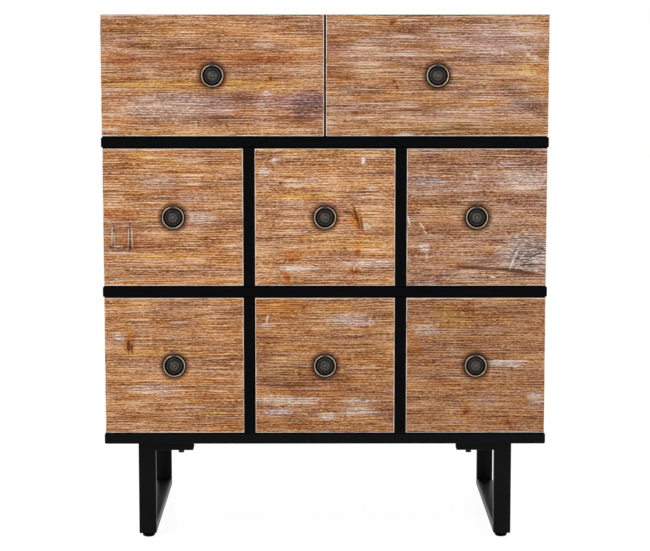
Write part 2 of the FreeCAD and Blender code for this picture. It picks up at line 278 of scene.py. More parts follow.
# How strong the grain lines and the bands of tone are
LINE_GAIN, BAND_GAIN = 3.8, 2.0

# Growth lines in the wood, in radians to the metre
RING_PHASE = 2 * math.pi / 0.0043

# Effects in patches: the noise's cells to the metre, detail and roughness, its value where the
# effect is none and where it is full, and the effect's most
RING_PATCHES = ((135, 300, 300), 1, 0.6, 0.35, 0.65, 0.56)
DARK_GAPS = ((19, 700, 640), 0, 0.5, 0.40, 0.30, 0.42)
PALE_RUNS = ((15, 600, 660), 0, 0.5, 0.60, 0.71, 0.6)

# How much the bands draw the lime, how strong a line is where its lime is full, and its most
LIME_DRAW, LIME_FULL, LIME_MOST = 0.6, 0.85, 0.9

# Colours of the wood from its dark lines to its pale ones, and of the lime from gold to lilac wood
WOOD_TONES = (
    (0.0, (0.11, 0.030, 0.006)),
    (0.25, (0.26, 0.087, 0.019)),
    (0.5, (0.41, 0.165, 0.058)),
    (0.75, (0.51, 0.24, 0.098)),
    (1.0, (0.58, 0.30, 0.13)),
)
LIME_TONES = ((0.35, (0.95, 0.66, 0.36)), (0.65, (0.84, 0.66, 0.60)))

# Flecks in the wood, and tints where they or the hue run low or high: the noise's value at full
# strength, and the tint
FLECKS = ((45, 500, 560), 1, 0.6)
FLECK_LEANS = ((0.3, (1.03, 1.03, 0.74)), (0.7, (1.04, 0.95, 1.08)))
HUE_LEANS = ((0.34, (1.10, 0.92, 0.50)), (0.66, (0.90, 0.95, 1.55)))

# Tint of the dark gaps in the grain, and how far to which cream the lime of its pale runs leans
GAP_TINT = (0.54, 0.41, 0.29)
RUN_LEAN, RUN_CREAM = 0.35, (1.0, 0.86, 0.72)


def brushed_fir_group():
    """Fir brushed along x: drifting streaks of brown, orange and lilac, with lime in the pores.

    Its tone is brushed lines, growth lines, which are a sine of the bent height, and slow bands.
    Lime lies where lines and bands run pale."""
    inputs = {"Place": ORIGIN, "Contrast": 1.0, "Patchiness": 1.0, "Hue": 0.0}
    net, given, made = new_group("brushed_fir", inputs, ("Colour", "Lime", "Height"))
    place = given["Place"]
    wander = net.noise(place, *GRAIN_WANDER)
    drift = net.between(wander, 0.0, 1.0, -GRAIN_DRIFT, GRAIN_DRIFT)
    waved = net.vector("ADD", place, net.join(0.0, 0.0, drift))

    streak = net.less(net.layers([waved] * len(GRAIN_LINES), GRAIN_LINES), 0.5)
    streak = net.times(streak, net.times(given["Contrast"], LINE_GAIN))
    phase = net.times(net.split(waved)[2], RING_PHASE)
    phase = net.add(phase, net.layers((waved, place), RING_BENDS))
    weight = net.times(net.patches(place, *RING_PATCHES), given["Contrast"])
    streak = net.add(streak, net.times(net.math("SINE", phase), weight))

    patch = net.less(net.layers((waved, place), TONE_BANDS), 0.5)
    patch = net.times(patch, net.times(given["Patchiness"], BAND_GAIN))
    tone = net.add(net.add(streak, patch), 0.5)
    wood = net.ramp(tone, WOOD_TONES)

    hue = net.add(net.layers((waved, place), HUE_BANDS), given["Hue"])
    fleck = net.noise(waved, *FLECKS)
    for noise, leans in ((fleck, FLECK_LEANS), (hue, HUE_LEANS)):
        for full, tint in leans:
            wood = net.tinted(net.between(noise, 0.5, full), wood, tint)

    lime = net.ramp(hue, LIME_TONES)
    in_pores = net.add(streak, net.times(patch, LIME_DRAW))
    in_pores = net.between(in_pores, 0.0, LIME_FULL, 0.0, LIME_MOST)
    wood = net.mix(in_pores, wood, lime)
    wood = net.tinted(net.patches(waved, *DARK_GAPS), wood, GAP_TINT)
    cream = net.mix(RUN_LEAN, lime, RUN_CREAM)
    wood = net.mix(net.patches(waved, *PALE_RUNS), wood, cream)
    net.feed(made, {"Colour": wood, "Lime": in_pores, "Height": tone})
    return net.tree


def mark_group():
    """How far a point is inside an oval set at an angle, whose rim is ragged.

    Its reach is 0 at the oval's middle and 1 on its rim, give or take a noise."""
    inputs = {"Place": ORIGIN, "Middle": ORIGIN, "Turn": ORIGIN}
    inputs |= {"Half size": (1.0, 1.0, 1.0), "Ragged": 0.5}
    net, given, made = new_group("wood_mark", inputs, ("Inside", "Reach"))
    oval = {
        "Vector": given["Place"],
        "Location": given["Middle"],
        "Rotation": given["Turn"],
        "Scale": given["Half size"],
    }
    inner = net.place("Mapping", oval, vector_type="TEXTURE").outputs[0]
    x, _, z = net.split(inner)[:3]
    square = net.add(net.times(x, x), net.times(z, z))
    rough = net.less(net.noise(given["Place"], (60, 300, 480), 2, 0.6), 0.5)
    rough = net.times(rough, net.times(given["Ragged"], 3))
    reach = net.add(net.math("SQRT", square), rough)
    inside = net.between(reach, 1.2, 0.6)
    net.feed(made, {"Inside": inside, "Reach": reach})
    return net.tree


def arris_group():
    """How near a point is to the rim of a front's face, from its two corners, broken up by wear."""
    corners = {"Low": ORIGIN, "High": (1.0, 1.0, 1.0)}
    inputs = {"Place": ORIGIN, **corners, "Width": 0.0015}
    net, given, made = new_group("pale_arris", inputs, ("Rim",))
    from_low = net.split(net.vector("SUBTRACT", given["Place"], given["Low"]))
    from_high = net.split(net.vector("SUBTRACT", given["High"], given["Place"]))
    across = net.math("MINIMUM", from_low[0], from_high[0])
    up = net.math("MINIMUM", from_low[2], from_high[2])
    nearest = net.math("MINIMUM", across, up)
    wear = net.between(net.noise(given["Place"], (45, 45, 45), 2, 0.6), 0.3, 0.7, 0.35, 1.3)
    width = net.times(given["Width"], wear)
    rim = net.less(1.0, net.math("DIVIDE", nearest, width))
    front_only = net.between(from_low[1], 0.0022, 0.0012)
    rim = net.between(net.times(rim, front_only), 0.0, 0.4)
    net.feed(made, {"Rim": rim})
    return net.tree


def speckle_group():
    """Fine grain on paint, plastic and metal, with slow cloudy changes."""
    inputs = {"Place": ORIGIN, "Cells": 1400.0}
    net, given, made = new_group("fine_speckle", inputs, ("Grain", "Cloud"))
    inputs = {0: given["Place"], 3: given["Cells"]}
    scaled = net.place("VectorMath", inputs, operation="SCALE").outputs[0]
    grain = net.noise(scaled, (1, 1, 1), 2, 0.6)
    cloud = net.noise(given["Place"], (18, 18, 18), 3, 0.6)
    net.feed(made, {"Grain": grain, "Cloud": cloud})
    return net.tree


BRUSHED_FIR = brushed_fir_group()
WOOD_MARK = mark_group()
PALE_ARRIS = arris_group()
FINE_SPECKLE = speckle_group()

# How each kind of mark changes the wood under it, as a multiplier of its colour
MARK_TINTS = {
    "gold": (1.03, 1.02, 0.58),
    "amber": (1.02, 0.84, 0.46),
    "rust": (0.80, 0.58, 0.40),
    "lilac": (0.88, 0.92, 1.32),
    "dark": (0.30, 0.22, 0.21),
    "cut": (0.26, 0.16, 0.12),
}

# Lime on top of the wood: in patches, where it catches on the brushed lines, in scuffs, and along
# the rim of each face, where the pale rim is partly painted highlight on the arris
PALE_LIME = (0.80, 0.72, 0.66)
SCUFF_LIME = (0.80, 0.66, 0.54)
RIM_LIME_AND_HIGHLIGHT = (0.80, 0.72, 0.62)

# How ragged the rims of marks, knots and the dark ring of wax and painted shadow are
RAGGED = {"pale": 0.65, "scuff": 0.8, "knot": 0.45, "wax_and_shadow": 0.03}
RAGGED_OTHERS = 0.35

# A knot's height against its width, the tint round it, and its heart from the middle outwards
KNOT_FLATNESS = 0.75
KNOT_HALO = (0.86, 0.62, 0.42)
KNOT_HEART = ((0.25, (0.13, 0.045, 0.02)), (0.85, (0.06, 0.02, 0.01)))

# Dark wax that gathers round each backplate, and painted contact shadow of the pull in the same
# dark ring
WAX_AND_SHADOW_TINT = (0.31, 0.20, 0.13)

# Fades by reach: where there is none and where it is full, and what none and full are
WAX_AND_SHADOW_FADE = (1.42, 1.07, 0.0, 0.95)
HALO_FADE, HEART_FADE = (3.0, 1.0, 0.0, 0.9), (1.05, 0.6)

# How lime in the pores holds pale marks and thins dark ones: the lime's range, and the share of
# a mark's strength at its weak end
PALE_CATCH, DARK_CATCH = (0.0, 0.45, 0.22), (0.05, 0.4, 0.3)

# How far apart in the wood the fronts' own runs of grain lie, in metres along x, y and z
RUN_STEP = (0.83, 1.7, 0.37)

# Marks on each front: kind, middle in x and z and half size in x and z in millimetres, strength,
# and turn in degrees where there is any
MARKS = {}
MARKS["top_left"] = (
    ("cut", -60, 905, 66, 0.9, 0.8), ("rust", -194, 831, 187.4, 13.6, 0.9),
    ("gold", -211, 789, 195.9, 8.5, 0.9), ("gold", -311, 883, 76.7, 13.6, 0.5),
    ("gold", -295, 860, 20.4, 8.5, 0.8), ("lilac", -194, 749, 187.4, 23.9, 0.5),
    ("pale", -262, 751, 93.7, 22.1, 0.5), ("dark", -24, 754, 34, 26, 0.85, -15),
    ("lilac", -30, 750, 45, 28, 0.8), ("pale", -100, 773, 8, 6.8, 0.6),
    ("pale", -107, 754, 13.6, 3.4, 0.6), ("scuff", -218, 720, 1, 8.5, 0.5),
    ("cut", -92, 799, 3.2, 3.2, 1.0), ("cut", -78, 799.5, 15, 1.3, 0.95),
    ("scuff", -89, 799, 0.9, 2.4, 0.8), ("cut", -99, 756, 2.2, 1.6, 0.8),
    ("amber", -92, 799, 16, 6, 0.7), ("gold", -195, 705, 187.4, 5.1, 0.8),
    ("rust", -346, 830, 34.1, 11.9, 0.7), ("rust", -34, 729, 34.1, 6.8, 0.5),
)
MARKS["top_right"] = (
    ("cut", 190, 905, 196, 1.1, 0.95), ("pale", 295, 872, 68.1, 37.5, 0.3),
    ("lilac", 194, 855, 187.4, 30.7, 0.3), ("rust", 17, 830, 17, 68.1, 0.5),
    ("dark", 338, 760, 48, 14, 0.55, 30), ("lilac", 338, 756, 40.9, 11.9, 0.9),
    ("pale", 351, 835, 11.9, 5.1, 0.9, 20), ("pale", 329, 852, 23.9, 3.4, 0.7),
    ("scuff", 127, 838, 119.3, 0.7, 0.7), ("scuff", 96, 812, 90, 0.7, 0.6),
    ("scuff", 90, 757, 70, 0.7, 0.55), ("scuff", 285, 800, 60, 0.7, 0.5),
    ("scuff", 76, 848, 47.7, 0.7, 0.6), ("scuff", 59, 826, 51.1, 0.7, 0.6),
    ("scuff", 150, 868, 90, 0.6, 0.5), ("scuff", 240, 776, 80, 0.6, 0.5),
    ("scuff", 150, 727, 90, 0.6, 0.5), ("scuff", 300, 738, 60, 0.6, 0.45),
    ("scuff", 299, 843, 1.4, 6.8, 0.5), ("pale", 220, 746, 59.6, 5.1, 0.3),
    ("gold", 195, 715, 170.4, 8.5, 0.5), ("gold", 346, 813, 23.9, 10.2, 0.6),
    ("dark", 122, 786, 2, 8.5, 0.6, -15),
)
MARKS["middle_left"] = (
    ("dark", -361, 530, 6, 22, 0.8), ("dark", -332, 527, 6, 25, 0.9),
    ("dark", -348, 514, 16, 5, 0.5), ("rust", -345, 528, 32, 25, 0.5),
    ("scuff", -363, 531, 1.5, 17, 0.55, 2), ("scuff", -359, 526, 1.3, 13, 0.45, -2),
    ("scuff", -335, 528, 1.4, 18, 0.5, 3), ("scuff", -329, 530, 1.5, 19, 0.55, -2),
    ("scuff", -353, 514, 10, 1.5, 0.6), ("scuff", -352, 503, 28, 1.1, 0.6),
    ("scuff", -343, 549, 14, 1, 0.45), ("gold", -299, 497, 76.7, 4.3, 0.9),
    ("lilac", -348, 504, 20.4, 2.6, 0.9), ("cut", -217, 640, 57.9, 1.6, 0.7),
    ("scuff", -221, 636, 51.1, 1, 0.5), ("pale", -211, 562, 30, 10, 0.65),
    ("pale", -357, 454, 15.3, 2.6, 0.8), ("rust", -349, 569, 30.7, 10.2, 0.8),
    ("gold", -317, 668, 20.4, 6.8, 0.7), ("gold", -266, 658, 13.6, 5.1, 0.8),
    ("rust", -315, 520, 61.3, 13.6, 0.5), ("pale", -280, 624, 34.1, 11.9, 0.35),
    ("rust", -240, 612, 60, 7, 0.5), ("lilac", -250, 592, 50, 6, 0.4),
    ("gold", -230, 640, 50, 5, 0.5), ("gold", -170, 579, 23.9, 6.8, 0.6),
)
MARKS["middle_centre"] = (
    ("pale", -85, 661, 10.2, 5.1, 1, -15), ("scuff", -86, 662, 5, 2.5, 0.6, -10),
    ("pale", -104, 642, 10.2, 10.2, 0.9, 20), ("pale", 65, 659, 4.4, 8.5, 1),
    ("scuff", 65, 660, 2.4, 6, 0.8), ("dark", 65, 648, 2.7, 2, 0.9),
    ("pale", 80, 613, 10.2, 5.1, 0.7), ("amber", 52, 561, 11, 24, 1, -15),
    ("amber", 51, 560, 9, 18, 0.7, -15), ("rust", 58, 556, 5, 16, 0.8, -12),
    ("cut", 47, 567, 1.6, 10, 0.7, -35), ("cut", 58, 545, 5, 1.8, 0.8, 20),
    ("cut", 63, 551, 2, 13, 0.9, -8), ("cut", 53, 566, 2.4, 22, 1, -17),
    ("lilac", 37, 577, 6.8, 6, 1), ("dark", 39, 572, 5.1, 2.6, 0.7),
    ("pale", 72, 549, 6.8, 6.8, 0.7), ("lilac", 56, 545, 4.3, 5.1, 1),
    ("rust", -41, 525, 5.1, 6, 1), ("lilac", -53, 507, 10.2, 5.1, 0.8),
    ("amber", -55, 497, 18, 12, 1), ("rust", -55, 492, 15.3, 5.5, 1),
    ("dark", -63, 490, 6.8, 1.7, 0.7), ("rust", 55, 505, 5.5, 5.1, 1),
    ("amber", 58, 515, 10, 16, 0.7), ("amber", 50, 474, 9, 14, 1),
    ("rust", 50, 475, 6, 11, 0.9), ("rust", -65, 461, 5, 10, 0.8, -25),
    ("rust", 56, 503, 6, 8, 0.8), ("rust", -50, 505, 22, 4, 0.5),
    ("rust", 50, 471, 6, 8, 0.7), ("scuff", 50, 473, 1.2, 6, 0.9),
    ("amber", -66, 462, 7, 12, 1, -25), ("rust", -63, 458, 4, 6, 0.9, -20),
    ("pale", 77, 483, 46, 7, 0.8), ("gold", 0, 673, 112.4, 5.1, 0.7),
    ("gold", -34, 600, 68.1, 8.5, 0.8), ("gold", 9, 519, 102.2, 11.9, 0.5),
    ("pale", -43, 475, 34, 6, 0.8), ("rust", 9, 452, 109, 4.3, 0.5),
    ("dark", 9, 489, 68.1, 1.2, 0.6), ("pale", -17, 625, 51.1, 5.1, 0.4),
    ("dark", -25, 654, 57.9, 1.4, 0.6),
)
MARKS["middle_right"] = (
    ("dark", 300, 463, 92, 6, 0.5), ("pale", 347, 500, 46, 34.1, 1),
    ("dark", 350, 500, 42, 30, 0.8), ("pale", 323, 492, 4.4, 18.7, 1, 18),
    ("cut", 268, 476, 60, 3.4, 0.9, 3), ("cut", 330, 471, 36, 4.6, 0.95, 8),
    ("cut", 350, 482, 26, 2.4, 0.85, -4), ("cut", 354, 512, 20, 1.8, 0.7, 6),
    ("cut", 342, 496, 24, 1.8, 0.7, -10), ("cut", 322, 500, 2.6, 22, 0.5, 22),
    ("rust", 349, 466, 18.7, 3.4, 1), ("scuff", 319, 484, 1.6, 12, 0.4, 20),
    ("scuff", 330, 480, 1.5, 7, 0.4, 32), ("cut", 327, 490, 1.6, 12, 0.5, 24),
    ("scuff", 338, 499, 1.5, 7, 0.4, 38), ("cut", 345, 489, 1.8, 10, 0.6, 48),
    ("scuff", 352, 508, 9, 1.3, 0.5, -12), ("scuff", 358, 487, 9, 1.3, 0.5, 10),
    ("cut", 361, 500, 10, 1.6, 0.8, -18), ("pale", 169, 511, 10.2, 7.7, 0.9),
    ("pale", 174, 495, 3.1, 8.5, 0.7), ("scuff", 165, 549, 1.4, 6.8, 0.9, -35),
    ("scuff", 172, 537, 1.2, 4.3, 0.7, -35), ("pale", 257, 637, 6, 5.1, 0.7),
    ("pale", 342, 627, 40.9, 18.7, 0.6), ("pale", 178, 624, 30.7, 8.5, 0.5),
    ("scuff", 288, 461, 5.1, 1.5, 0.9), ("rust", 213, 550, 68.1, 10.2, 0.6),
    ("rust", 196, 487, 51.1, 8.5, 0.6), ("dark", 333, 528, 40.9, 1.7, 0.6),
    ("scuff", 143, 557, 1.7, 8.5, 0.7, -15), ("gold", 264, 542, 76.7, 10.2, 0.4),
    ("rust", 212, 661, 64.7, 8.5, 0.5),
)
MARKS["bottom_left"] = (
    ("cut", -337, 342, 3, 13, 1), ("amber", -334, 351, 8.5, 24, 1),
    ("rust", -334, 344, 6, 14, 0.8), ("cut", -331, 337, 2, 9, 0.9),
    ("pale", -354, 359, 10.2, 6.8, 0.8), ("pale", -290, 266, 50, 9, 0.6),
    ("rust", -237, 269, 23.9, 3.1, 0.8), ("rust", -327, 252, 47.7, 3.4, 0.8),
    ("lilac", -238, 383, 29, 10.2, 0.7), ("gold", -283, 330, 102.2, 6.8, 0.5),
    ("gold", -189, 225, 23.9, 5.1, 0.7), ("rust", -170, 279, 27.3, 5.1, 0.5),
    ("lilac", -300, 370, 51.1, 6.8, 0.4), ("gold", -334, 416, 40.9, 6.8, 0.5),
    ("dark", -267, 229, 102.2, 1.4, 0.5),
)
MARKS["bottom_centre"] = (
    ("amber", -79, 413, 44.3, 15.3, 1), ("rust", -62, 411, 18, 7, 0.7),
    ("scuff", -99, 388, 1.8, 7.7, 0.6, 12), ("amber", -94, 384, 6, 8, 0.7),
    ("pale", -98, 377, 13.6, 5.1, 0.7), ("pale", 46, 387, 42, 12, 0.55),
    ("lilac", 46, 383, 34.1, 11.9, 0.25), ("lilac", -108, 325, 23.9, 11.9, 0.7),
    ("rust", -108, 321, 23.9, 11.9, 0.6), ("cut", -62, 273, 56, 2.2, 0.7),
    ("rust", -10, 279, 105, 9, 0.6), ("cut", -30, 264, 80, 1.6, 0.55),
    ("cut", -84, 290, 30, 1.6, 0.5), ("cut", 40, 268, 34, 1.8, 0.7),
    ("lilac", -43, 272, 75, 8.5, 0.6), ("pale", -66, 247, 62, 9, 0.75),
    ("pale", 60, 246, 30, 7, 0.6), ("pale", -80, 228, 28, 6, 0.6),
    ("pale", 60, 227, 30, 7, 0.75), ("pale", 4, 219, 16, 8, 0.7),
    ("amber", 2, 226, 10, 5, 0.6), ("lilac", -86, 227, 34.1, 5.1, 0.7),
    ("gold", -43, 295, 68.1, 8.5, 0.6), ("rust", 9, 260, 102.2, 5.1, 0.6),
    ("rust", -91, 349, 34.1, 6.8, 0.6), ("scuff", 77, 304, 27.3, 1.4, 0.5),
    ("lilac", 33, 331, 20.4, 6.8, 0.6),
)
MARKS["bottom_right"] = (
    ("gold", 223, 395, 40.9, 20.4, 0.8), ("rust", 235, 408, 20, 7, 0.5),
    ("amber", 242, 232, 8, 22, 0.9), ("amber", 312, 210, 24, 8, 0.6),
    ("amber", 156, 331, 17, 10.2, 1), ("scuff", 314, 316, 34.1, 1.4, 0.5),
    ("scuff", 321, 307, 20.4, 1.2, 0.5), ("pale", 306, 312, 40, 7, 0.7),
    ("pale", 362, 251, 14, 13, 0.6), ("lilac", 281, 248, 15.3, 10.2, 0.7),
    ("lilac", 362, 221, 13.6, 8.5, 0.6), ("gold", 336, 248, 23.9, 6.8, 0.5),
    ("lilac", 171, 369, 30.7, 10.2, 0.4), ("pale", 172, 369, 26, 9, 0.5),
    ("amber", 153, 345, 12, 26, 0.6),
)

# Knots: middle in x and z, and half size, in millimetres
KNOTS = {
    "top_left": ((-91, 799, 4),),
    "top_right": ((117, 794, 3.4), (121, 783, 2.4), (114, 893, 4), (52, 741, 3.4)),
    "middle_left": (),
    "middle_centre": ((-75, 622, 3.7), (51, 470, 3.4)),
    "middle_right": ((332, 470, 2.7),),
    "bottom_left": ((-337, 340, 3.7),),
    "bottom_centre": ((-36, 408, 2.7),),
    "bottom_right": ((247, 416, 3.6), (242, 227, 4.2), (315, 207, 3.8), (321, 302, 2)),
}

# Mean tint of each front against the shared wood, its contrast, patchiness and lean in hue. The
# tints grow darker towards the bottom right, partly the wood's own tone and partly painted shade
FRONT_TINTS_AND_SHADE = {
    "top_left": ((0.854, 0.823, 0.772), 0.82, 1.1, 0.0),
    "top_right": ((0.861, 0.873, 0.845), 0.69, 1.0, 0.02),
    "middle_left": ((0.892, 0.840, 0.749), 0.87, 1.12, -0.02),
    "middle_centre": ((0.925, 0.870, 0.743), 0.94, 1.15, 0.0),
    "middle_right": ((0.758, 0.727, 0.722), 1.02, 1.35, 0.04),
    "bottom_left": ((0.889, 0.835, 0.713), 0.86, 0.92, -0.02),
    "bottom_centre": ((0.778, 0.681, 0.516), 0.98, 1.0, 0.0),
    "bottom_right": ((0.687, 0.602, 0.479), 0.98, 0.95, 0.0),
}


def oval(net, place, x, z, half_x, half_z, kind, turn=0.0):
    """Places one oval, given in millimetres and degrees, and gives back the mark's outputs."""
    inputs = {
        "Place": place,
        "Middle": (x * MM, 0.0, z * MM),
        "Turn": (0.0, math.radians(turn), 0.0),
        "Half size": (half_x * MM, 1.0, half_z * MM),
        "Ragged": RAGGED.get(kind, RAGGED_OTHERS),
    }
    return net.group(WOOD_MARK, inputs)


def marked(net, colour, lime, inside, kind, strength):
    """The colour with one mark on it. Pale and dark marks show by how much lime the pores hold."""
    if kind == "pale":
        bare, limed, share = PALE_CATCH
        catch = net.between(lime, bare, limed, share * strength, strength)
        return net.mix(net.times(inside, catch), colour, PALE_LIME)
    if kind == "scuff":
        return net.mix(net.times(inside, strength), colour, SCUFF_LIME)
    catch = strength
    if kind == "dark":
        bare, limed, share = DARK_CATCH
        catch = net.between(lime, bare, limed, strength, share * strength)
    return net.tinted(net.times(inside, catch), colour, MARK_TINTS[kind])


def knotted(net, colour, reach):
    """The colour with a knot on it: a warm halo round a dark heart, by reach from its middle."""
    colour = net.tinted(net.between(reach, *HALO_FADE), colour, KNOT_HALO)
    heart = net.ramp(net.between(reach, 0.0, 1.0), KNOT_HEART)
    return net.mix(net.between(reach, *HEART_FADE), colour, heart)


def limed_fir(name):
    """One front's wood: its own run of grain, its marks, knots, wax darkened with painted shadow
    round the pull, and the pale rim of lime and painted highlight.
    """
    tint, contrast, patchiness, hue = FRONT_TINTS_AND_SHADE[name]
    material, net, shader, place = new_material("limed_fir_" + name, Specular_IOR_Level=0.25)
    index = DRAWERS.index(name)
    own_run = net.vector("ADD", place, tuple(step * index for step in RUN_STEP))
    inputs = {"Place": own_run, "Contrast": contrast, "Patchiness": patchiness, "Hue": hue}
    wood = net.group(BRUSHED_FIR, inputs)
    # The front's tint: its own tone, with painted shade towards the bottom right of the chest
    colour = net.tinted(1.0, wood["Colour"], tint)
    for kind, x, z, half_x, half_z, strength, *turn in MARKS[name]:
        inside = oval(net, place, x, z, half_x, half_z, kind, *turn)["Inside"]
        colour = marked(net, colour, wood["Lime"], inside, kind, strength)
    for x, z, half in KNOTS[name]:
        reach = oval(net, place, x, z, half, KNOT_FLATNESS * half, "knot")["Reach"]
        colour = knotted(net, colour, reach)
    low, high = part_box("drawer_front_" + name)
    x, _, z = (low + high) / 2 / MM
    # Dark ring round the backplate: wax, and painted contact shadow of the pull
    reach = oval(net, place, x, z, PLATE_RADIUS, PLATE_RADIUS, "wax_and_shadow")["Reach"]
    colour = net.tinted(net.between(reach, *WAX_AND_SHADOW_FADE), colour, WAX_AND_SHADOW_TINT)
    # The pale rim round the face is lime on the arris and painted highlight
    if name.startswith("top"):
        high = high + Vector((0.0, 0.0, 0.01))  # no pale line along the chest's upper edge
    corners = {"Place": place, "Low": tuple(low), "High": tuple(high)}
    rim = net.group(PALE_ARRIS, corners)["Rim"]
    net.feed(shader, {
        "Base Color": net.mix(net.times(rim, 0.85), colour, RIM_LIME_AND_HIGHLIGHT),
        "Roughness": net.between(wood["Height"], 0.2, 0.9, 0.62, 0.8),
        "Normal": net.bump(wood["Height"], 0.5, 0.35),
    })
    return material


# Black lacquer: its two tones, and the lighter tone of the lowest board, which is painted light
# from the floor, with the heights in metres that the change lies between
LACQUER_TONES = ((0.3, (0.0008, 0.0009, 0.0012)), (0.7, (0.0019, 0.0020, 0.0024)))
LOWEST_BOARD_PAINTED_LIGHT = (0.0042, 0.0046, 0.0054)
LOWEST_BOARD = (0.194, 0.186)


def black_board():
    """Black lacquer on board, with a little of the grain showing through it, and painted floor
    light on the lowest board.
    """
    material, net, shader, place = new_material("black_board", Specular_IOR_Level=0.03)
    grain = net.noise(place, (14, 160, 160), 3, 0.6)
    speckle = net.group(FINE_SPECKLE, {"Place": place, "Cells": 900.0})
    # Painted light from the floor on the lowest board, below the given heights
    painted_floor_light = net.between(net.split(place)[2], *LOWEST_BOARD)
    height = net.add(grain, net.times(speckle["Grain"], 0.3))
    net.feed(shader, {
        "Base Color": net.mix(painted_floor_light, net.ramp(grain, LACQUER_TONES), LOWEST_BOARD_PAINTED_LIGHT),
        "Roughness": net.between(speckle["Cloud"], 0.3, 0.7, 0.5, 0.56),
        "Normal": net.bump(height, 0.25, 0.2),
    })
    return material


def plain_wood(name, dark, light, stretch, roughness):
    """Unfinished wood of the drawer boxes, dowels or hardboard, with grain along its length."""
    material, net, shader, place = new_material(name, Specular_IOR_Level=0.3)
    grain = net.noise(place, stretch, 3, 0.6)
    pores = net.noise(place, tuple(4 * s for s in stretch), 2, 0.5)
    tone = net.add(net.times(grain, 0.7), net.times(pores, 0.3))
    net.feed(shader, {
        "Base Color": net.ramp(tone, ((0.3, dark), (0.7, light))),
        "Roughness": net.between(pores, 0.3, 0.7, roughness - 0.08, roughness + 0.08),
        "Normal": net.bump(tone, 0.3, 0.2),
    })
    return material


def speckled(name, cells, dark, light, rough, bump, constants):
    """Paint, plastic or oiled steel: two tones in clouds, with roughness and bump in its grain."""
    material, net, shader, place = new_material(name, **constants)
    speckle = net.group(FINE_SPECKLE, {"Place": place, "Cells": cells})
    values = {
        "Base Color": net.ramp(speckle["Cloud"], ((0.3, dark), (0.7, light))),
        "Roughness": net.between(speckle["Grain"], 0.3, 0.7, *rough),
    }
    if bump:
        values["Normal"] = net.bump(speckle["Grain"], *bump)
    net.feed(shader, values)
    return material


def aged_metal(name, dark, bright, rough_bright, rough_dark):
    """Metal, dark where it is sheltered and bright where its rub attribute says it is handled."""
    material, net, shader, place = new_material(name, Metallic=1.0)
    speckle = net.group(FINE_SPECKLE, {"Place": place, "Cells": 750.0})
    rub = net.place("Attribute", attribute_name="rub").outputs["Fac"]
    spots = net.between(speckle["Grain"], 0.35, 0.65, 0.4, 1.6)
    worn = net.between(net.times(rub, spots), 0.06, 0.9)
    net.feed(shader, {
        "Base Color": net.mix(worn, dark, bright),
        "Roughness": net.between(worn, 0.0, 1.0, rough_dark, rough_bright),
        "Normal": net.bump(speckle["Grain"], 0.25, 0.08),
    })
    return material


# Dark and light tone, cells to the metre along x, y and z, and roughness
PLAIN_WOODS = {
    "drawer_wood": ((0.42, 0.29, 0.17), (0.62, 0.47, 0.31), (90, 9, 90), 0.6),
    "hardboard": ((0.10, 0.055, 0.03), (0.17, 0.10, 0.055), (250, 250, 250), 0.65),
    "dowel_beech": ((0.45, 0.29, 0.17), (0.6, 0.42, 0.27), (400, 400, 40), 0.6),
}

# Cells to the metre, dark and light tone, least and most roughness, the bump's strength and its
# depth in millimetres, and constants
BLACK, OILED = (0.0015, 0.0015, 0.0015), (0.015, 0.015, 0.016)
STEEL_SHEEN, FOOT_SHEEN = {"Specular_IOR_Level": 0.07}, {"Specular_IOR_Level": 0.025}
SPECKLED_FINISHES = {
    "black_steel": (1100.0, BLACK, (0.003, 0.003, 0.0028), (0.32, 0.46), (0.3, 0.12), STEEL_SHEEN),
    "foot_plastic": (1800.0, BLACK, (0.003, 0.003, 0.003), (0.45, 0.6), (0.3, 0.1), FOOT_SHEEN),
    "screw_steel": (1500.0, OILED, (0.035, 0.034, 0.032), (0.3, 0.5), None, {"Metallic": 1.0}),
}

# Dark and bright colour, and roughness where bright and where dark
AGED_METALS = {
    "dark_bronze": ((0.008, 0.006, 0.005), (0.135, 0.12, 0.105), 0.35, 0.5),
    "antique_brass": ((0.03, 0.02, 0.012), (0.37, 0.305, 0.225), 0.28, 0.45),
}

FINISHES = {"black_board": black_board()}
MADE_BY = ((plain_wood, PLAIN_WOODS), (speckled, SPECKLED_FINISHES), (aged_metal, AGED_METALS))
for maker, looks in MADE_BY:
    FINISHES.update((name, maker(name, *look)) for name, look in looks.items())


# Shapes


def grid_faces(rows, columns, close_rows=False, close_columns=False):
    """The four-sided faces of a grid of points, whose ends may be joined."""
    index = np.arange(rows * columns).reshape(rows, columns)
    if close_rows:
        index = np.vstack([index, index[:1]])
    if close_columns:
        index = np.hstack([index, index[:, :1]])
    corners = (index[:-1, :-1], index[1:, :-1], index[1:, 1:], index[:-1, 1:])
    return np.stack(corners, -1).reshape(-1, 4)


def new_object(name, data):
    """Puts an object with the data into the scene."""
    made = bpy.data.objects.new(name, data)
    bpy.context.scene.collection.objects.link(made)
    return made


